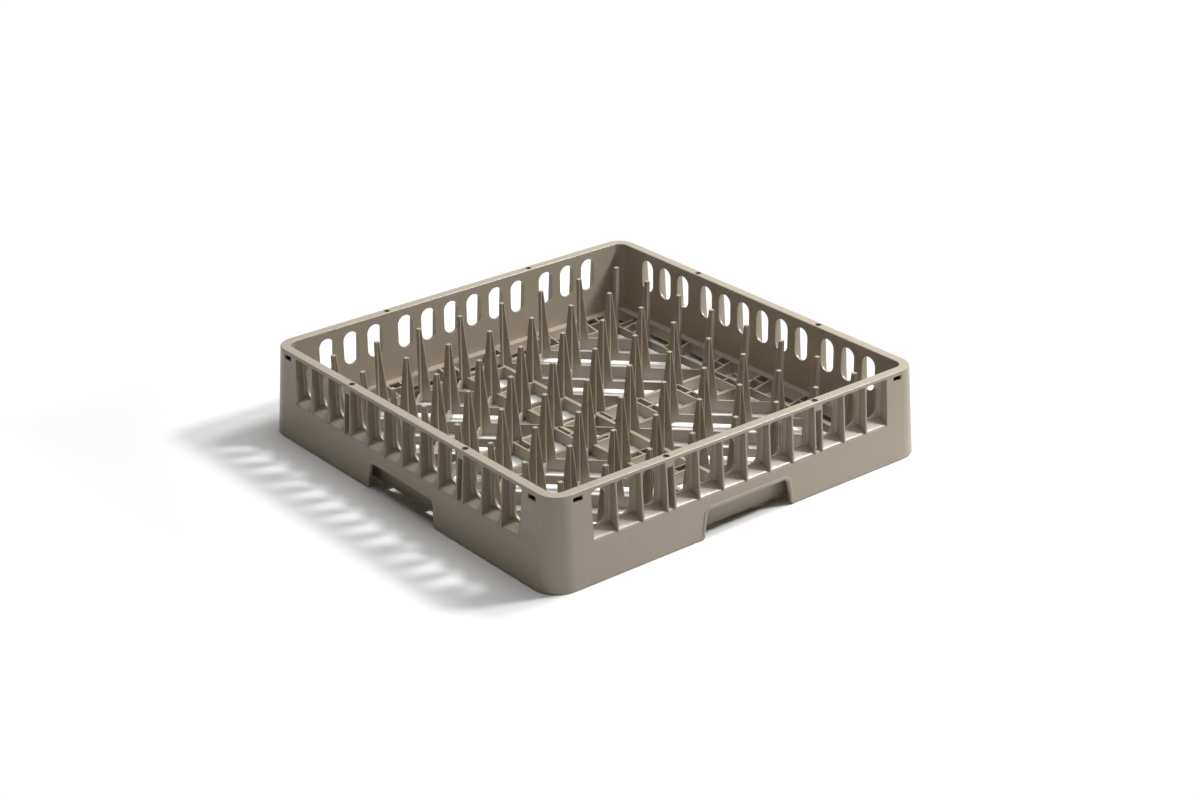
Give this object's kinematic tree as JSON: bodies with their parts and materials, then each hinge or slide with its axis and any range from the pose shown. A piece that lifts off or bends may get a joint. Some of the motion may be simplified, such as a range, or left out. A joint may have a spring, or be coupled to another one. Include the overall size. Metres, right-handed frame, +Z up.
{
  "type": "dishwasher peg rack",
  "caption": "Square open-topped plastic rack with slotted double walls, hand grips, an open lattice floor and rows of tapered cross-section pegs that hold plates in a dishwasher.",
  "frame": {"origin": "middle of the square base on the standing surface", "axes": "+Z up through the open top, X and Y along the two pairs of sides"},
  "size_m": [0.5, 0.5, 0.1],
  "materials": {
    "rack": "satin"
  },
  "bodies": {
    "root": {"peg_rack": "rack"}
  },
  "joints": []
}
